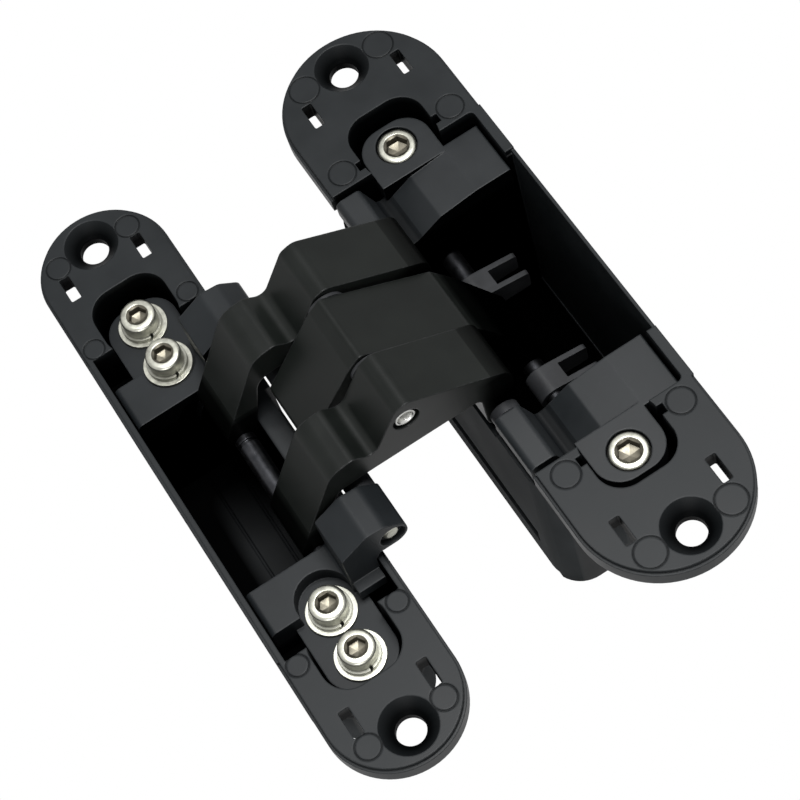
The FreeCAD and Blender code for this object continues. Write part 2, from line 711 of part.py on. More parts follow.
def frame_housing():
    centre = size("frame_centre")
    face_level = size("frame_face_level")
    half = size("frame_width") / 2
    end = size("frame_length") / 2
    step = size("plate_step")
    wall = size("wall")
    deep = size("frame_deep_half")
    corner = size("frame_deep_corner")
    notch = size("frame_notch_half")
    pocket = size("frame_end_pocket_half")
    pocket_end = size("frame_end_pocket_end")
    outer = half + step
    top = ref("frame_face_level")
    land = f"{top} - {ref('plate_land')}"

    def plan(x_low, x_high, y_low, y_high, radius):
        return rectangle(centre + x_low, centre + x_high, y_low, y_high, radius)

    face = prism("frame_face", "XY", plan(-half, half, -end, end, half), land, top)
    flange = prism("frame_flange", "XY", plan(-outer, outer, -end - step, end + step, outer),
                   f"{top} - {ref('frame_thick')}", land)
    box = prism("frame_box", "XY", plan(-outer, outer, -deep, deep, corner),
                f"{top} - {ref('frame_depth')}", land)
    lips = prism("frame_lips", "XY", plan(-outer, -half + wall, -notch + 0.5, notch - 0.5, 0),
                 f"{land} - 1", f"{top} - 0.1")
    ledge = size("frame_ledge_level")
    boss_low = ledge - size("boss_floor")
    bosses = []
    for tag, side in SIDES:
        low, high = sorted((side * (deep - corner), side * (pocket_end + 2.2)))
        corners = plan(-pocket - 2.2, pocket + 2.2, low, high, 5.0)
        bosses.append(prism(f"frame_boss_{tag}", "XY", corners, boss_low, land))
    shell = fuse("frame_shell", [face, flange, box, lips] + bosses)

    inside = half + step - wall + 0.4
    bar = size("frame_bar_width")
    bar_half = size("frame_bar_half")
    well = size("frame_well_half")
    relief = size("frame_relief")
    relief_half = size("frame_relief_half")
    floor = f"{top} - {ref('frame_depth')} + {ref('floor_thick')}"
    cuts = [
        prism("frame_pocket_middle", "XY", plan(-inside, outer - bar, -well, well, 0), floor, f"{top} + 1"),
        prism("frame_bar_drop", "XY", plan(outer - bar - 1, outer + 1, -bar_half, bar_half, 0),
              f"{top} - {ref('frame_bar_low')}", f"{top} + 1"),
        prism("frame_arm_relief", "XY", plan(outer - relief, outer + 1, -relief_half, relief_half, 0),
              f"{top} - 12.5", f"{top} + 1"),
    ]
    screws = (size("clamp_station_inner"), size("clamp_station_outer"))
    for tag, side in SIDES:
        low, high = sorted((side * bar_half, side * notch))
        opening = plan(-inside, inside, low, high, 0)
        cuts.append(prism(f"frame_pocket_{tag}", "XY", opening, ledge, f"{top} + 1"))
        low, high = sorted((side * bar_half, side * well))
        opening = plan(-inside, inside, low, high, 0)
        cuts.append(prism(f"frame_well_{tag}", "XY", opening, floor, f"{top} + 1"))
        low, high = sorted((side * (notch - 3), side * pocket_end))
        corners = plan(-pocket, pocket, low, high, size("end_corner"))
        cuts.append(prism(f"frame_end_pocket_{tag}", "XY", corners, ledge, f"{top} + 1"))
        for i, station in enumerate(screws):
            cuts.append(drum(f"frame_thread_{tag}_{i}", "Z", (ref("frame_centre"), side * station),
                             ref("clamp_shank_radius"), boss_low - 1, ledge + 1))
    for i, across in enumerate((-4.6, 0.6)):
        low_edge = centre + across
        cuts.append(block(f"frame_floor_groove_{i}", (low_edge, low_edge + 0.5),
                          (f"-{ref('frame_groove_half')}", ref("frame_groove_half")),
                          (f"{floor} - 0.4", f"{floor} + 1")))
    cuts += countersinks("frame_fixing", ref("frame_centre"), top, ref("frame_thick"))
    cuts += small_slots("frame_slot", ref("frame_centre"), size("frame_slot_across"),
                        size("frame_slot_station"), top, ref("frame_thick"))
    marks = [(centre + hand * 9.5, side * 35.2, 1.9) for hand in (-1, 1) for side in (-1, 1)]
    marks += [(centre + hand * 7.1, side * 53.3, 2.2) for hand in (-1, 1) for side in (-1, 1)]
    cuts += ring_marks("frame_mark", marks, top)
    return keep("frame_housing", cut("frame_housing_solid", shell, cuts))


def frame_carriage(tag, side):
    centre = size("frame_centre")
    pivot = point("frame_pivot")
    lug = size("lug_radius")
    seat = size("frame_seat_level")
    ledge = size("frame_ledge_level")
    top = size("frame_face_level")
    block_top = top - 2.4
    inside = size("frame_width") / 2 + size("plate_step") - size("wall") + 0.4 - 0.3
    foot = top - size("frame_depth") + size("floor_thick") + 0.4
    neck_left = pivot.x - 9.4
    lug_low, lug_high = side_span(side, ref("frame_lug_inner"), ref("frame_lug_outer"))
    # The block and its lug, which reaches over the housing's wall to the pivot
    wave = [
        (centre - inside, ledge, 0.4),
        (centre - inside, block_top, 1.0),
        (neck_left, block_top, 0.6),
        (neck_left, pivot.y + 1.6, 0.8),
        (neck_left + 5.2, pivot.y + 4.8, 2.0),
        (pivot.x - 0.6, pivot.y + 4.4, 2.0),
        (pivot.x + lug, pivot.y + 1.4, 1.8),
        (pivot.x + lug, pivot.y - lug, lug - 0.1),
        (pivot.x - 3.0, pivot.y - lug, 1.0),
        (centre + inside, top + 0.7, 0.5),
        (centre + inside, ledge, 0.4),
    ]
    crown = prism(f"frame_crown_{tag}", "XZ", wave, lug_low, lug_high)
    cheek_low, cheek_high = side_span(side, ref("frame_lug_inner"),
                                      f"{ref('frame_lug_inner')} + {ref('track_plate')}")
    cheek = prism(f"frame_cheek_{tag}", "XZ",
                  rectangle(centre - inside, centre + inside, foot, ledge + 1, 1.5), cheek_low, cheek_high)
    block_end = size("frame_end_pocket_end") - size("height_travel") - 0.3
    ends = sorted((side * (size("frame_lug_outer") - 1), side * block_end))
    half = size("frame_end_pocket_half") - 0.6
    tongue = rectangle(centre - half, centre + half, ends[0], ends[1], 0)
    round_at = (2, 3) if side > 0 else (0, 1)
    corner = min(size("end_corner"), half - 0.05)
    tongue = [(x, y, corner if i in round_at else 0) for i, (x, y, r) in enumerate(tongue)]
    plate = prism(f"frame_tongue_{tag}", "XY", tongue, ledge, seat)
    rib_low, rib_high = side_span(side, f"{ref('frame_lug_outer')} - 1", f"{ref('frame_lug_outer')} + 2.1")
    rib = block(f"frame_rib_{tag}", (neck_left + 0.2, centre + inside - 0.2), (rib_low, rib_high),
                (block_top - 2.2, block_top + 0.2))
    whole = fuse(f"frame_carriage_{tag}_blank", [crown, cheek, plate, rib])

    # The arch leaves room for the inner screw's washer over the height travel
    arch_radius = size("clamp_washer_radius") + 0.5
    inner = size("clamp_station_inner")
    outer_station = size("clamp_station_outer")
    arch_station = side * (inner - size("height_travel"))
    arch_place = (ref("frame_centre"), arch_station)
    tools = [drum(f"frame_arch_{tag}", "Z", arch_place, arch_radius, seat, block_top + 1)]
    low, high = sorted((arch_station, side * (size("frame_lug_outer") + 3)))
    tools.append(block(f"frame_arch_mouth_{tag}", (centre - arch_radius, centre + arch_radius), (low, high),
                       (seat, block_top + 1)))
    for i, station in enumerate((inner, outer_station)):
        travel = size("height_travel") + size("clamp_shank_radius") + 0.2
        wide = size("clamp_shank_radius") + 0.2
        corners = rectangle(centre - wide, centre + wide,
                            side * station - travel, side * station + travel, wide)
        tools.append(prism(f"frame_clamp_slot_{tag}_{i}", "XY", corners, ledge - 1, seat + 1))
    pin_low, pin_high = side_span(side, f"{ref('frame_lug_inner')} - 1", f"{ref('frame_lug_outer')} + 1")
    tools.append(drum(f"frame_pin_bore_{tag}", "Y", FRAME_PIVOT, ref("pin_radius"), pin_low, pin_high))
    mouth_low, mouth_high = side_span(side, f"{ref('frame_lug_outer')} - 1.2",
                                      f"{ref('frame_lug_outer')} + 1")
    tools.append(drum(f"frame_pin_mouth_{tag}", "Y", FRAME_PIVOT, f"{ref('pin_radius')} + 0.35",
                      mouth_low, mouth_high))
    reach = size("slide_pin_radius") + size("track_gap")
    near, far = size("frame_lug_inner") - 1, size("frame_lug_inner") + size("track_depth")
    spread = sorted((side * near, side * far))
    tools.append(track(f"frame_track_{tag}", 1, reach, spread[0], spread[1]))
    return keep(f"frame_carriage_{tag}", cut(f"frame_carriage_{tag}_solid", whole, tools))


# The assembly
door_housing()
for tag, side in SIDES:
    door_carriage(tag, side)
    socket_screw(f"door_adjuster_{tag}", (0, f"({side}) * {ref('adjuster_station')}"),
                 f"-{ref('carriage_drop')}", ref("adjuster_head"), ref("adjuster_head_height"),
                 ref("adjuster_length"), ref("adjuster_socket"), 0.3)
plain_pin("door_pivot_pin", DOOR_PIVOT, ref("pin_radius"), f"{ref('door_lug_outer')} - 1.3", 0.4)

for tag, side in SIDES:
    outer_arm(tag, side)
    low, high = side_span(side, ref("outer_inner"), ref("outer_outer"))
    flange = side_span(side, ref("outer_outer"), f"{ref('door_lug_inner')} - 0.2")
    flanged_bush(f"door_pivot_bush_{tag}", DOOR_PIVOT, low, high, *flange)
middle_arm()
plain_pin("centre_pin", CENTRE, ref("pin_radius"), f"{ref('outer_outer')} - 0.25", 0.3, 0.95)
sleeve("centre_bush", CENTRE, f"{ref('pin_radius')} + {ref('running_gap')}",
       f"{ref('pin_radius')} + {ref('bush_wall')}", f"-{ref('middle_half')}", ref("middle_half"))
sleeve("frame_pivot_bush", FRAME_PIVOT, f"{ref('pin_radius')} + {ref('running_gap')}",
       f"{ref('pin_radius')} + {ref('bush_wall')}", f"-{ref('middle_half')}", ref("middle_half"))
for tag, side in SIDES:
    low, high = side_span(side, f"{ref('middle_half')} + 0.1", f"{ref('outer_inner')} - 0.1")
    sleeve(f"centre_washer_{tag}", CENTRE, f"{ref('pin_radius')} + 0.1", f"{ref('pin_radius')} + 1.4",
           low, high)

plain_pin("door_slide_pin", DOOR_SLIDE, ref("slide_pin_radius"),
          f"{ref('door_lug_inner')} + {ref('track_plate')} - 0.1", 0.5)
plain_pin("frame_slide_pin", FRAME_SLIDE, ref("slide_pin_radius"),
          f"{ref('frame_lug_inner')} + {ref('track_depth')} - 0.2", 0.5)
for tag, side in SIDES:
    door_shoe(tag, side)

frame_housing()
for tag, side in SIDES:
    frame_carriage(tag, side)
    for place in ("inner", "outer"):
        station = f"({side}) * {ref('clamp_station_' + place)}"
        level = f"{ref('frame_face_level')} - {ref('clamp_head_drop')}"
        socket_screw(f"frame_clamp_screw_{tag}_{place}", (ref("frame_centre"), station), level,
                     ref("clamp_head_radius"), ref("clamp_head_height"), ref("clamp_length"),
                     ref("socket_across"), 0.45)
        spring_washer(f"frame_spring_washer_{tag}_{place}", station)
        disc = drum(f"clamp_washer_disc_{tag}_{place}", "Z", (ref("frame_centre"), station),
                    ref("clamp_washer_radius"), ref("frame_seat_level"),
                    f"{ref('frame_seat_level')} + {ref('clamp_washer_thick')}")
        hole = drum(f"clamp_washer_hole_{tag}_{place}", "Z", (ref("frame_centre"), station),
                    f"{ref('clamp_shank_radius')} + 0.15", f"{ref('frame_seat_level')} - 1",
                    f"{ref('frame_seat_level')} + {ref('clamp_washer_thick')} + 1")
        keep(f"frame_clamp_washer_{tag}_{place}", cut(f"clamp_washer_{tag}_{place}_solid", disc, [hole]))
plain_pin("frame_pivot_pin", FRAME_PIVOT, ref("pin_radius"), f"{ref('frame_lug_outer')} - 0.3", 0.7)
for tag, side in SIDES:
    low, high = side_span(side, f"{ref('middle_half')} + 0.1", f"{ref('frame_lug_inner')} - 0.1")
    sleeve(f"frame_pivot_spacer_{tag}", FRAME_PIVOT, f"{ref('pin_radius')} + {ref('running_gap')}",
           ref("spacer_radius"), low, high)

doc.recompute()

faults = [o.Name for o in doc.Objects if "Invalid" in o.State or "Error" in o.State]
for node, shape in NODES.items():
    if shape.Shape.isNull() or not shape.Shape.isValid() or not shape.Shape.Solids:
        faults.append(node)
if faults:
    raise RuntimeError("not built: " + ", ".join(faults))

os.makedirs("parts", exist_ok=True)
for node, shape in NODES.items():
    shape.Shape.exportStep(f"parts/{node}.step")
    print(f"{node}: {len(shape.Shape.Solids)} solid, {shape.Shape.Volume:.0f} mm3")
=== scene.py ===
import math
from collections import namedtuple

import bmesh
import bpy
from mathutils import Matrix, Vector


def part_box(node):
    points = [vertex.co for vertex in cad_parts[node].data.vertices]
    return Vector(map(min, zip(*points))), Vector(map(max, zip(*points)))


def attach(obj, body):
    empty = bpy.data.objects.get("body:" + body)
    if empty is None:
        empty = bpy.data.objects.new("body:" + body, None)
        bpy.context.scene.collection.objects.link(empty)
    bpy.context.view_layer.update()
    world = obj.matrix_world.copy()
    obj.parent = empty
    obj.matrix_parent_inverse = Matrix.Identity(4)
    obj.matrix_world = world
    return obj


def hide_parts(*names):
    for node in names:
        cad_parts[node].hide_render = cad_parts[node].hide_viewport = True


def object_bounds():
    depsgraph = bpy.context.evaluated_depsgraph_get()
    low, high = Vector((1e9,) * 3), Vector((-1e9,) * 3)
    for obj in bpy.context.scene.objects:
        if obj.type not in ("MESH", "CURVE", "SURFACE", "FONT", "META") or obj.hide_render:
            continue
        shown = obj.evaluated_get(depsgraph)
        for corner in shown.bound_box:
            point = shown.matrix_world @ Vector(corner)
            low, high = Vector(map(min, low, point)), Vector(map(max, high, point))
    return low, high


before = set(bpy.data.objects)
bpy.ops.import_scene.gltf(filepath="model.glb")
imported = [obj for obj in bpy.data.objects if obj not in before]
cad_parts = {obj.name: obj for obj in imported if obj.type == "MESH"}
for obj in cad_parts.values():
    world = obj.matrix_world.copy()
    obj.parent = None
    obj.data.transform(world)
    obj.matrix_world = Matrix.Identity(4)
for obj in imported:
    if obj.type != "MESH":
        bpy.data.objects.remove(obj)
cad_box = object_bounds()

MM = 0.001
BLACK = (0.0, 0.0, 0.0)
WHITE = (1.0, 1.0, 1.0)


def corners(name):
    """The low and the high corner of a CAD node's box."""
    low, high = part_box(name)
    return Vector(low), Vector(high)


# Shader nodes

def material(name):
    """A new material, its node tree and its shader."""
    mat = bpy.data.materials.new(name)
    mat.use_nodes = True
    tree = mat.node_tree
    return mat, tree, tree.nodes["Principled BSDF"]


def feed(tree, value, socket):
    """Link a socket's output, or set a number or a colour."""
    if hasattr(value, "links"):
        tree.links.new(value, socket)
    elif isinstance(value, tuple):
        socket.default_value = (*value, 1.0)
    else:
        socket.default_value = value


def node(tree, kind, inputs=None, **settings):
    """A node with its settings, and with a value for each input that is named or numbered."""
    made = tree.nodes.new(kind)
    for key, value in settings.items():
        setattr(made, key, value)
    for key, value in (inputs or {}).items():
        feed(tree, value, made.inputs[key])
    return made


def noise(tree, coords, scale, detail, roughness=0.55):
    inputs = {"Vector": coords, "Scale": scale, "Detail": detail, "Roughness": roughness}
    return node(tree, "ShaderNodeTexNoise", inputs).outputs["Fac"]


def spread(tree, source, low, high, start=0.3, end=0.7):
    """Low where the source is at the start, high where it is at the end, and clamped past both."""
    inputs = {"Value": source, "From Min": start, "From Max": end, "To Min": low, "To Max": high}
    return node(tree, "ShaderNodeMapRange", inputs).outputs["Result"]


def blend_colour(tree, factor, first, second):
    inputs = {0: factor, 6: first, 7: second}
    return node(tree, "ShaderNodeMix", inputs, data_type="RGBA").outputs[2]


def maths(tree, operation, first, second=0.0):
    """One Math node whose inputs are sockets or numbers."""
    return node(tree, "ShaderNodeMath", {0: first, 1: second}, operation=operation).outputs[0]


def product(tree, first, *others):
    for other in others:
        first = maths(tree, "MULTIPLY", first, other)
    return first


def rest_of(tree, share):
    """What a share leaves of 1."""
    return maths(tree, "SUBTRACT", 1.0, share)


def own_coords(tree):
    return node(tree, "ShaderNodeTexCoord").outputs["Object"]


def axis_parts(tree, vector):
    return node(tree, "ShaderNodeSeparateXYZ", {0: vector}).outputs


def own_normal(tree):
    """The surface normal in the piece's own axes, so that it turns with the piece."""
    normal = node(tree, "ShaderNodeNewGeometry").outputs["Normal"]
    turned = node(tree, "ShaderNodeVectorTransform", {0: normal},
                  vector_type="NORMAL", convert_from="WORLD", convert_to="OBJECT")
    return axis_parts(tree, turned.outputs[0])


def rounded_normal(tree, radius):
    """The normal as if each edge were rounded."""
    return node(tree, "ShaderNodeBevel", {"Radius": radius}, samples=6).outputs["Normal"]


def edge_mask(tree, rounded):
    """How near a point is to an edge: the rounded normal's turn away from the true one."""
    true = node(tree, "ShaderNodeNewGeometry").outputs["Normal"]
    dot = node(tree, "ShaderNodeVectorMath", {0: rounded, 1: true}, operation="DOT_PRODUCT")
    return spread(tree, dot.outputs["Value"], 1.0, 0.0, 0.82, 0.985)


def skin(tree, shader, height, normal, strength, distance):
    """Fine bumps on top of the rounded normal."""
    inputs = {"Height": height, "Normal": normal, "Strength": strength, "Distance": distance}
    bump = node(tree, "ShaderNodeBump", inputs)
    tree.links.new(bump.outputs["Normal"], shader.inputs["Normal"])


# Where the light doesn't reach: masks that paint shade and light into the powder coat

# A plate's inside with round ends, its level, how much painted shade darkens its deepest part, and its
# outline's softness
Pit = namedtuple("Pit", "centre half straight top deepest soft", defaults=(0.95, 0.1 * MM))

# A level inside a pit that lies open to the light, how much painted light it gets, and where it fades in
# along X and out along Y
Shelf = namedtuple("Shelf", "level gain fade_x fade_y")

# How much painted shade darkens the coat below a pit's top, and the depths where the shade is full and
# where it starts
GROOVE_PAINTED_SHADE = (0.45, 0.10 * MM, 0.03 * MM)
RECESS_PAINTED_SHADE = (0.78, 1.8 * MM, 0.2 * MM)
POCKET_SHADE_DEPTHS = (8.0 * MM, 3.0 * MM)

# How much of a normal has to point one way before the face counts as facing it
FACING = (0.35, 0.5)
# The box below a plate: painted light on its ends and underside, and a painted lit tone with almost no
# shine on its long walls
BOX_DEPTHS = (6.0 * MM, 5.0 * MM)
BOX_END_PAINTED_LIGHT = 0.45
BOX_SIDE_SHINE = 0.01
BOX_SIDE_PAINTED_DIM = (0.024, 0.026, 0.027)
BOX_SIDE_PAINTED_BRIGHT = (0.032, 0.034, 0.035)


def pit_painted_shade(tree, coords, pit):
    """Painted shade: 1 on a plate's face and rim, less in its recesses, and nearly 0 deep in its pocket."""
    x, y, z = axis_parts(tree, coords)
    across = maths(tree, "SUBTRACT", x, pit.centre)
    past_straight = maths(tree, "SUBTRACT", maths(tree, "ABSOLUTE", y), pit.straight)
    along = maths(tree, "MAXIMUM", past_straight, 0.0)
    squares = [maths(tree, "POWER", part, 2.0) for part in (across, along)]
    reach = maths(tree, "SQRT", maths(tree, "ADD", *squares))
    within = spread(tree, reach, 1.0, 0.0, pit.half - pit.soft, pit.half + pit.soft)
    gain = 1.0
    for loss, full, start in (GROOVE_PAINTED_SHADE, RECESS_PAINTED_SHADE, (pit.deepest, *POCKET_SHADE_DEPTHS)):
        lost = spread(tree, z, loss, 0.0, pit.top - full, pit.top - start)
        gain = product(tree, gain, rest_of(tree, product(tree, within, lost)))
    return gain


def box_painted_light_masks(tree, coords, pit):
    """Two masks for painted light on the box below a plate: its ends and underside, and its long walls."""
    x, y, z = axis_parts(tree, coords)
    full, start = BOX_DEPTHS
    below = spread(tree, z, 1.0, 0.0, pit.top - full, pit.top - start)
    facing = own_normal(tree)
    side = maths(tree, "SIGN", maths(tree, "SUBTRACT", x, pit.centre))
    aside = product(tree, facing[0], side)
    endways = product(tree, facing[1], maths(tree, "SIGN", y))
    outward = maths(tree, "MAXIMUM", endways, product(tree, facing[2], -1.0))
    ends = product(tree, below, spread(tree, outward, 0.0, 1.0, *FACING))
    sides = product(tree, below, spread(tree, aside, 0.0, 1.0, *FACING))
    return ends, sides


def shelf_painted_light(tree, coords, shelf):
    """The shelf's painted light on upward faces near its level, fading out along X and Y."""
    x, y, z = axis_parts(tree, coords)
    upward = spread(tree, own_normal(tree)[2], 0.0, shelf.gain, 0.7, 0.95)
    away = maths(tree, "ABSOLUTE", maths(tree, "SUBTRACT", z, shelf.level))
    near = spread(tree, away, 1.0, 0.0, 0.5 * MM, 0.8 * MM)
    across = spread(tree, x, 0.0, 1.0, *shelf.fade_x)
    along = spread(tree, y, 1.0, 0.0, *shelf.fade_y)
    return product(tree, product(tree, near, upward), product(tree, across, along))


def cheek_painted_shade(tree, coords):
    """Painted shade: 1 outside and nearly 0 on the cheeks that face the middle of the hinge."""
    y = axis_parts(tree, coords)[1]
    outward = product(tree, own_normal(tree)[1], maths(tree, "SIGN", y))
    return spread(tree, outward, 0.07, 1.0, -0.95, -0.75)


# Materials

DUST_LIFT = 3.0
RUBBED = (0.09, 0.092, 0.097)


def coat_colour(tree, clouds, dust, worn, base, light, edge):
    """A slightly uneven colour with paler dust, rubbed where the edges are worn."""
    dusty = tuple(DUST_LIFT * part for part in light)
    colour = blend_colour(tree, spread(tree, clouds, 0.0, 1.0), base, light)
    colour = blend_colour(tree, spread(tree, dust, 0.0, 0.25, 0.6, 0.8), colour, dusty)
    rub = product(tree, worn, spread(tree, dust, 0.1 * edge, edge, 0.4, 0.65))
    return blend_colour(tree, rub, colour, RUBBED)


def coated(name, base, light, roughness, sheen=0.15, edge=0.35,
           pits=(), cheeks=False, boxed=False, shelves=()):
    """Fine matt powder coat with a pebbled skin and rubbed edges; its recesses are dark with painted shade,
    lifted by painted light in places.
    """
    mat, tree, shader = material(name)
    coords = own_coords(tree)
    clouds = noise(tree, coords, 90.0, 4.0)
    grain = noise(tree, coords, 5200.0, 2.0)
    dust = noise(tree, coords, 1500.0, 5.0, 0.7)
    normal = rounded_normal(tree, 0.35 * MM)
    worn = edge_mask(tree, normal)
    # Painted shade on the inward cheeks and in the pits, lifted by painted light on the box ends and the
    # shelves
    gain = cheek_painted_shade(tree, coords) if cheeks else 1.0
    for pit in pits:
        gain = product(tree, gain, pit_painted_shade(tree, coords, pit))
    if boxed:
        ends, sides = box_painted_light_masks(tree, coords, pits[0])
        gain = maths(tree, "MAXIMUM", gain, product(tree, ends, BOX_END_PAINTED_LIGHT))
    for shelf in shelves:
        gain = maths(tree, "MAXIMUM", gain, shelf_painted_light(tree, coords, shelf))
    colour = coat_colour(tree, clouds, dust, worn, base, light, edge)
    # The painted shade darkens the colour towards black and dims the shine
    colour = blend_colour(tree, gain, BLACK, colour)
    shine = product(tree, gain, sheen)
    # The box's long walls get a painted lit tone in place of the coat's colour, and almost no shine
    if boxed:
        painted_wall_tone = blend_colour(tree, spread(tree, clouds, 0.0, 1.0), BOX_SIDE_PAINTED_DIM, BOX_SIDE_PAINTED_BRIGHT)
        colour = blend_colour(tree, sides, colour, painted_wall_tone)
        shine = product(tree, shine, spread(tree, sides, 1.0, BOX_SIDE_SHINE, 0.0, 1.0))
    rough = spread(tree, clouds, roughness - 0.05, roughness + 0.06)
    tree.links.new(colour, shader.inputs["Base Color"])
    tree.links.new(shine, shader.inputs["Specular IOR Level"])
    tree.links.new(rough, shader.inputs["Roughness"])
    skin(tree, shader, grain, normal, 0.05, 0.2 * MM)
    return mat


def metal(name, base, dark, roughness):
    """Plated or ground steel with stains, an uneven polish and rounded edges."""
    mat, tree, shader = material(name)
    coords = own_coords(tree)
    stains = noise(tree, coords, 650.0, 4.0, 0.6)
    fine = noise(tree, coords, 900.0, 2.0)
    colour = blend_colour(tree, spread(tree, stains, 0.0, 1.0, 0.35, 0.7), base, dark)
    rough = spread(tree, fine, roughness - 0.03, roughness + 0.05)
    tree.links.new(colour, shader.inputs["Base Color"])
    tree.links.new(rough, shader.inputs["Roughness"])
    shader.inputs["Metallic"].default_value = 1.0
    skin(tree, shader, fine, rounded_normal(tree, 0.12 * MM), 0.008, 0.1 * MM)
    return mat


def polymer(name, base, light, roughness):
    """Dark moulded polymer with a faint grain."""
    mat, tree, shader = material(name)
    coords = own_coords(tree)
    clouds = noise(tree, coords, 260.0, 4.0)
    fine = noise(tree, coords, 2600.0, 2.0)
    colour = blend_colour(tree, spread(tree, clouds, 0.0, 1.0), base, light)
    rough = spread(tree, fine, roughness - 0.05, roughness + 0.08)
    tree.links.new(colour, shader.inputs["Base Color"])
    tree.links.new(rough, shader.inputs["Roughness"])
    shader.inputs["Specular IOR Level"].default_value = 0.2
    skin(tree, shader, fine, rounded_normal(tree, 0.2 * MM), 0.06, 0.1 * MM)
    return mat


door_low, door_high = corners("door_housing")
frame_low, frame_high = corners("frame_housing")
RIM = 0.8 * MM


def plate_pit(low, high, top):
    """The pit inside a round-ended plate's rim."""
    half = (high.x - low.x) / 2
    return Pit((low.x + high.x) / 2, half - RIM, high.y - half, top)


DOOR_PIT = plate_pit(door_low, door_high, 0.0)
FRAME_PIT = plate_pit(frame_low, frame_high, frame_high.z)

# Painted light on the frame half's low bar between its carriages, and on its pocket's floor
LOW_BAR = Shelf(frame_high.z - 2.6 * MM, 1.2, (-47.0 * MM, -46.0 * MM), (20.0 * MM, 21.0 * MM))
POCKET_FLOOR = Shelf(frame_low.z + 1.4 * MM, 0.5, (-61.5 * MM, -58.5 * MM), (0.0, 15.0 * MM))

# Each coat's darker and lighter colour and its roughness
PLATE = ((0.0056, 0.0068, 0.0076), (0.0088, 0.0104, 0.0114), 0.45)
ARM = ((0.0040, 0.0048, 0.0043), (0.0064, 0.0075, 0.0067), 0.36)
BLOCK = ((0.0062, 0.0074, 0.0083), (0.0096, 0.0112, 0.0124), 0.45)

# The arms and blocks stand above a pit's rim or sink below it, so each has a level of its own for its
# painted shade
ARM_PIT = DOOR_PIT._replace(top=9.6 * MM, soft=1.5 * MM)
MIDDLE_PIT = DOOR_PIT._replace(top=4.0 * MM)
LEG_PIT = FRAME_PIT._replace(top=-3.0 * MM)
DOOR_BLOCK_PIT = DOOR_PIT._replace(top=-6.5 * MM)
FRAME_BLOCK_PIT = FRAME_PIT._replace(top=-13.0 * MM)

DOOR_PLATE = coated("door_plate_coat", *PLATE, edge=0.14, pits=[DOOR_PIT], boxed=True)
FRAME_PLATE = coated("frame_plate_coat", *PLATE, edge=0.12, pits=[FRAME_PIT._replace(deepest=0.80)],
                     boxed=True, shelves=[LOW_BAR, POCKET_FLOOR])
OUTER_ARM = coated("outer_arm_coat", *ARM, sheen=0.13, pits=[ARM_PIT, LEG_PIT])
MIDDLE_ARM = coated("middle_arm_coat", *ARM, sheen=0.13, pits=[MIDDLE_PIT])
DOOR_BLOCK = coated("door_block_coat", *BLOCK, sheen=0.19, pits=[DOOR_BLOCK_PIT], cheeks=True)
FRAME_BLOCK = coated("frame_block_coat", *BLOCK, pits=[FRAME_BLOCK_PIT], cheeks=True)
NICKEL = metal("nickel_plate", (0.46, 0.46, 0.40), (0.28, 0.28, 0.245), 0.34)
# The inside of a screw's socket is painted dark as shade
SOCKET_SHADE = metal("socket_painted_shade", (0.13, 0.12, 0.095), (0.08, 0.075, 0.06), 0.40)
# The spring washers have their own steel tone, darkened further as painted shade under the screw heads
SPRING_AND_SHADE = metal("spring_steel_and_painted_shade", (0.24, 0.24, 0.21), (0.15, 0.15, 0.13), 0.36)
GROUND = metal("ground_steel", (0.60, 0.60, 0.58), (0.46, 0.46, 0.44), 0.32)
BLACKENED = metal("blackened_steel", (0.045, 0.046, 0.050), (0.028, 0.029, 0.032), 0.34)
POLYMER = polymer("dark_polymer", (0.012, 0.0125, 0.0135), (0.022, 0.023, 0.025), 0.45)

# The nodes whose names start so; the others are of polymer
FINISHES = (
    ("door_housing", DOOR_PLATE),
    ("frame_housing", FRAME_PLATE),
    ("door_carriage", DOOR_BLOCK),
    ("frame_carriage", FRAME_BLOCK),
    ("outer_arm", OUTER_ARM),
    ("middle_arm", MIDDLE_ARM),
    ("door_adjuster", NICKEL),
    ("frame_clamp", NICKEL),
    ("frame_spring_washer", SPRING_AND_SHADE),
    ("frame_slide_pin", BLACKENED),
    ("centre_pin", GROUND),
    ("frame_pivot_pin", GROUND),
    ("door_pivot_pin", GROUND),
    ("door_slide_pin", BLACKENED),
)


def finish_of(name):
    for start, mat in FINISHES:
        if name.startswith(start):
            return mat
    return POLYMER


for name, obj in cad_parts.items():
    mat = finish_of(name)
    if not obj.material_slots:
        obj.data.materials.append(mat)
    for place in obj.material_slots:
        place.material = mat


# Turned pieces: a skin through rings of points round an axis

STEPS = 96
ROUND = [2 * math.pi * i / STEPS for i in range(STEPS)]
CREASE = math.radians(28)


def hexagon(across):
    """A hexagon's radius at an angle, with its corners at every sixth of a turn."""
    return lambda angle: across / 2 / math.cos(angle % (math.pi / 3) - math.pi / 6)


def ring_points(height, radius, axis):
    """One ring's points round Z or Y, whose radius may depend on the angle."""
    for angle in ROUND:
        reach = radius(angle) if callable(radius) else radius
        a, b = reach * math.cos(angle), reach * math.sin(angle)
        yield Vector((a, b, height) if axis == "Z" else (a, height, b))


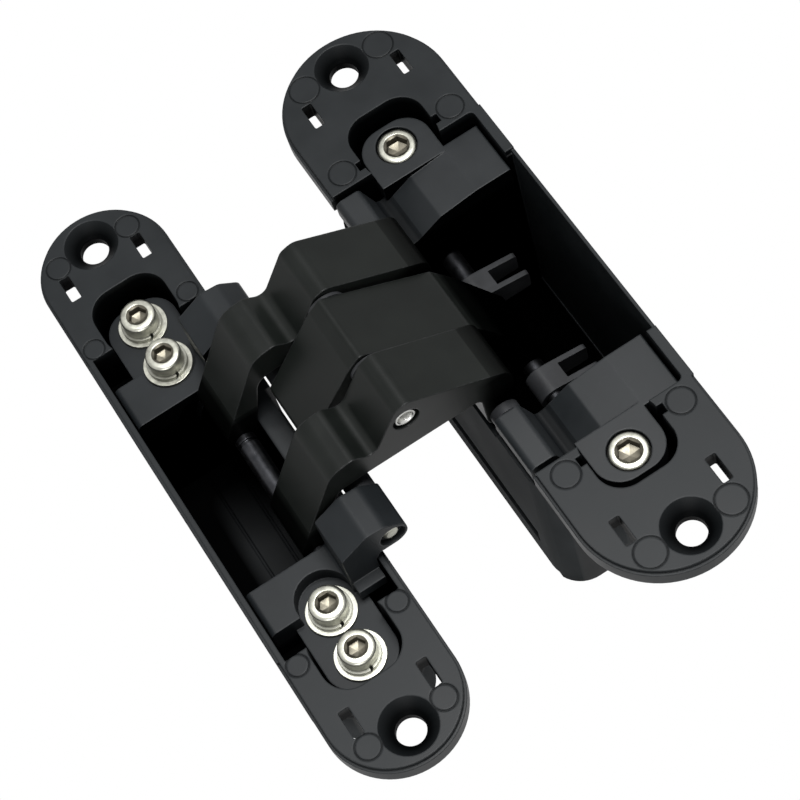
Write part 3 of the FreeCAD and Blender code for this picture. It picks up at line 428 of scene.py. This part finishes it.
def turned_mesh(name, rings, place, axis, painted_shade_bands):
    """A closed skin through the rings, whose last bands have the second material, the painted shade of a
    screw's socket.
    """
    bm = bmesh.new()
    rows = []
    for height, radius in rings:
        rows.append([bm.verts.new(place + spot) for spot in ring_points(height, radius, axis)])
    for band, (below, above) in enumerate(zip(rows, rows[1:])):
        for i in range(STEPS):
            j = (i + 1) % STEPS
            face = bm.faces.new((below[i], below[j], above[j], above[i]))
            face.material_index = int(band >= len(rows) - 1 - painted_shade_bands)
    bm.faces.new(rows[0])
    bm.faces.new(rows[-1]).material_index = int(painted_shade_bands > 0)
    bmesh.ops.recalc_face_normals(bm, faces=bm.faces)
    for face in bm.faces:
        face.smooth = True
    for edge in bm.edges:
        edge.smooth = edge.calc_face_angle(0.0) < CREASE
    mesh = bpy.data.meshes.new(name)
    bm.to_mesh(mesh)
    bm.free()
    return mesh


def turn_node(name, rings, axis, mats, body, painted_shade_bands=0):
    """A turned piece in a CAD node's place, on its body and in its material slot."""
    low, high = corners(name)
    x = (low.x + high.x) / 2
    if axis == "Z":
        place = Vector((x, (low.y + high.y) / 2, 0.0))
    else:
        place = Vector((x, 0.0, (low.z + high.z) / 2))
    mesh = turned_mesh(name + "_turned", rings, place, axis, painted_shade_bands)
    for mat in mats:
        mesh.materials.append(mat)
    piece = bpy.data.objects.new(name + "_turned", mesh)
    bpy.context.collection.objects.link(piece)
    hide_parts(name)
    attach(piece, body)


# Screws

SHANK = 2.0 * MM
PITCH = 0.7 * MM
THREAD_DEPTH = 0.3 * MM
ADJUSTER_HEAD = 2.5 * MM
ADJUSTER_SOCKET = 3.6 * MM
CLAMP_SOCKET = 3.0 * MM


def thread(low, high, radius):
    """Crests and roots up a shank."""
    rings = []
    for turn in range(int((high - low) / PITCH)):
        rings.append((low + turn * PITCH, radius))
        rings.append((low + (turn + 0.5) * PITCH, radius - THREAD_DEPTH))
    return rings


def socket_screw(name, underside, across, body):
    """A cap screw with a chamfered rim, a conical lead-in and a hexagon socket whose inside is painted dark
    as shade.
    """
    low, high = corners(name)
    head = (high.x - low.x) / 2
    top = high.z
    hexagon_corner = across / math.sqrt(3)
    rings = [(low.z, SHANK - 0.5 * MM)]
    rings += thread(low.z + 0.45 * MM, underside - 1.2 * MM, SHANK)
    rings += [
        (underside - 0.5 * MM, SHANK),
        (underside, SHANK),
        (underside, head - 0.15 * MM),
        (underside + 0.15 * MM, head),
        (top - 0.42 * MM, head),
        (top - 0.22 * MM, head - 0.12 * MM),
        (top - 0.06 * MM, head - 0.38 * MM),
        (top, head - 0.60 * MM),
        (top, hexagon_corner + 0.32 * MM),
        (top - 0.05 * MM, hexagon_corner + 0.24 * MM),
        (top - 0.30 * MM, hexagon(across)),
        (top - 1.85 * MM, hexagon(across)),
        (top - 1.90 * MM, hexagon(0.93 * across)),
        (top - 2.15 * MM, 0.12 * MM),
    ]
    turn_node(name, rings, "Z", [NICKEL, SOCKET_SHADE], body, painted_shade_bands=4)


for level in ("upper", "lower"):
    adjuster = f"door_adjuster_{level}"
    adjuster_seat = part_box(adjuster)[1][2] - ADJUSTER_HEAD
    socket_screw(adjuster, adjuster_seat, ADJUSTER_SOCKET, "door_carriages")
    for which in ("inner", "outer"):
        clamp_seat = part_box(f"frame_spring_washer_{level}_{which}")[1][2]
        clamp_screw = f"frame_clamp_screw_{level}_{which}"
        socket_screw(clamp_screw, clamp_seat, CLAMP_SOCKET, "frame_side")


# Pins along Y

PIN_CHAMFER = 0.5 * MM
GROOVE_STARTS = (-6.2 * MM, 5.5 * MM)
GROOVE_WIDTH = 0.7 * MM
GROOVE_FLANK = 0.05 * MM
GROOVE_DEPTH = 0.4 * MM


def grooved_pin(name, body, mat):
    """A chamfered pin with a retaining groove beside each outer arm."""
    low, high = corners(name)
    radius = (high.x - low.x) / 2
    rings = [(low.y, radius - PIN_CHAMFER), (low.y + PIN_CHAMFER, radius)]
    for start in GROOVE_STARTS:
        end = start + GROOVE_WIDTH
        rings += [(start, radius), (start + GROOVE_FLANK, radius - GROOVE_DEPTH)]
        rings += [(end - GROOVE_FLANK, radius - GROOVE_DEPTH), (end, radius)]
    rings += [(high.y - PIN_CHAMFER, radius), (high.y, radius - PIN_CHAMFER)]
    turn_node(name, rings, "Y", [mat], body)


def ended_pin(name, end, body, mat):
    """A pin whose ends have the given steps: how far in, and the share of the pin's radius."""
    low, high = corners(name)
    radius = (high.x - low.x) / 2
    rings = [(low.y + inset, share * radius) for inset, share in end]
    rings += [(high.y - inset, share * radius) for inset, share in reversed(end)]
    turn_node(name, rings, "Y", [mat], body)


CUPPED = [(2.0 * MM, 0.05), (1.9 * MM, 0.52), (0.35 * MM, 0.60), (0.10 * MM, 0.68),
          (0.0, 0.76), (0.05 * MM, 0.90), (0.35 * MM, 1.0)]
STEPPED = [(0.0, 0.20), (0.02 * MM, 0.40), (0.10 * MM, 0.58), (0.30 * MM, 0.70),
           (0.60 * MM, 0.74), (1.80 * MM, 0.74), (1.85 * MM, 0.94), (2.05 * MM, 1.0)]
grooved_pin("frame_slide_pin", "outer_arms", BLACKENED)
ended_pin("centre_pin", CUPPED, "outer_arms", GROUND)
ended_pin("frame_pivot_pin", STEPPED, "frame_carriages", NICKEL)


# Light, white background and floor

MIDDLE = Vector((-0.025, 0.0, -0.005))
FLOOR = cad_box[0][2] - 0.5 * MM
FLOOR_REACH = 3.0


def softbox(name, place, width, height, power):
    """A rectangular light that faces the middle of the hinge."""
    data = bpy.data.lights.new(name, "AREA")
    data.shape = "RECTANGLE"
    data.size = width
    data.size_y = height
    data.energy = power
    lamp = bpy.data.objects.new(name, data)
    bpy.context.collection.objects.link(lamp)
    lamp.location = place
    lamp.rotation_euler = (MIDDLE - lamp.location).to_track_quat("-Z", "Y").to_euler()


def white_backdrop(tree, own, white_kind, output):
    """White for the camera's rays and for those that pieces mirror or pass, else the own shader."""
    path = node(tree, "ShaderNodeLightPath").outputs
    mirrored = maths(tree, "MAXIMUM", path["Is Glossy Ray"], path["Is Transmission Ray"])
    rays = maths(tree, "MAXIMUM", path["Is Camera Ray"], mirrored)
    white = node(tree, white_kind, {"Color": WHITE, "Strength": 1.0})
    inputs = {0: rays, 1: own.outputs[0], 2: white.outputs[0]}
    mixed = node(tree, "ShaderNodeMixShader", inputs)
    tree.links.new(mixed.outputs[0], tree.nodes[output].inputs["Surface"])


softbox("key", (0.05, -0.02, 0.75), 0.30, 0.30, 10.0)
softbox("front", (-0.35, -0.60, 0.30), 0.45, 0.30, 2.2)

world = bpy.data.worlds.new("studio")
bpy.context.scene.world = world
world.use_nodes = True
background = world.node_tree.nodes["Background"]
background.inputs["Color"].default_value = (0.90, 0.93, 1.0, 1.0)
background.inputs["Strength"].default_value = 0.14
white_backdrop(world.node_tree, background, "ShaderNodeBackground", "World Output")

floor_mesh = bpy.data.meshes.new("floor")
floor_corners = [(x * FLOOR_REACH, y * FLOOR_REACH, FLOOR) for x, y in ((-1, -1), (1, -1), (1, 1), (-1, 1))]
floor_mesh.from_pydata(floor_corners, [], [(0, 1, 2, 3)])
floor = bpy.data.objects.new("floor", floor_mesh)
bpy.context.collection.objects.link(floor)
pale, pale_tree, pale_shader = material("pale_floor")
pale_shader.inputs["Base Color"].default_value = (0.85, 0.85, 0.85, 1.0)
pale_shader.inputs["Roughness"].default_value = 0.8
white_backdrop(pale_tree, pale_shader, "ShaderNodeEmission", "Material Output")
floor_mesh.materials.append(pale)


# The camera stands where the photograph was taken from

CAMERA_PLACE = Vector((-66.85, -188.92, 353.20)) * MM
CAMERA_RIGHT = Vector((0.8390, -0.5176, -0.1679)).normalized()
CAMERA_AHEAD = Vector((0.1028, 0.4537, -0.8852)).normalized()
CAMERA_UP = CAMERA_RIGHT.cross(CAMERA_AHEAD).normalized()

camera_data = bpy.data.cameras.new("camera")
camera_data.sensor_width = 36.0
camera_data.lens = 109.39
camera_data.clip_start = 0.01
camera_data.clip_end = 10.0
camera = bpy.data.objects.new("camera", camera_data)
bpy.context.collection.objects.link(camera)
bpy.context.scene.camera = camera
turn = Matrix((CAMERA_RIGHT, CAMERA_UP, -CAMERA_AHEAD)).transposed().to_4x4()
camera.matrix_world = Matrix.Translation(CAMERA_PLACE) @ turn

bpy.context.scene.view_settings.view_transform = "Standard"
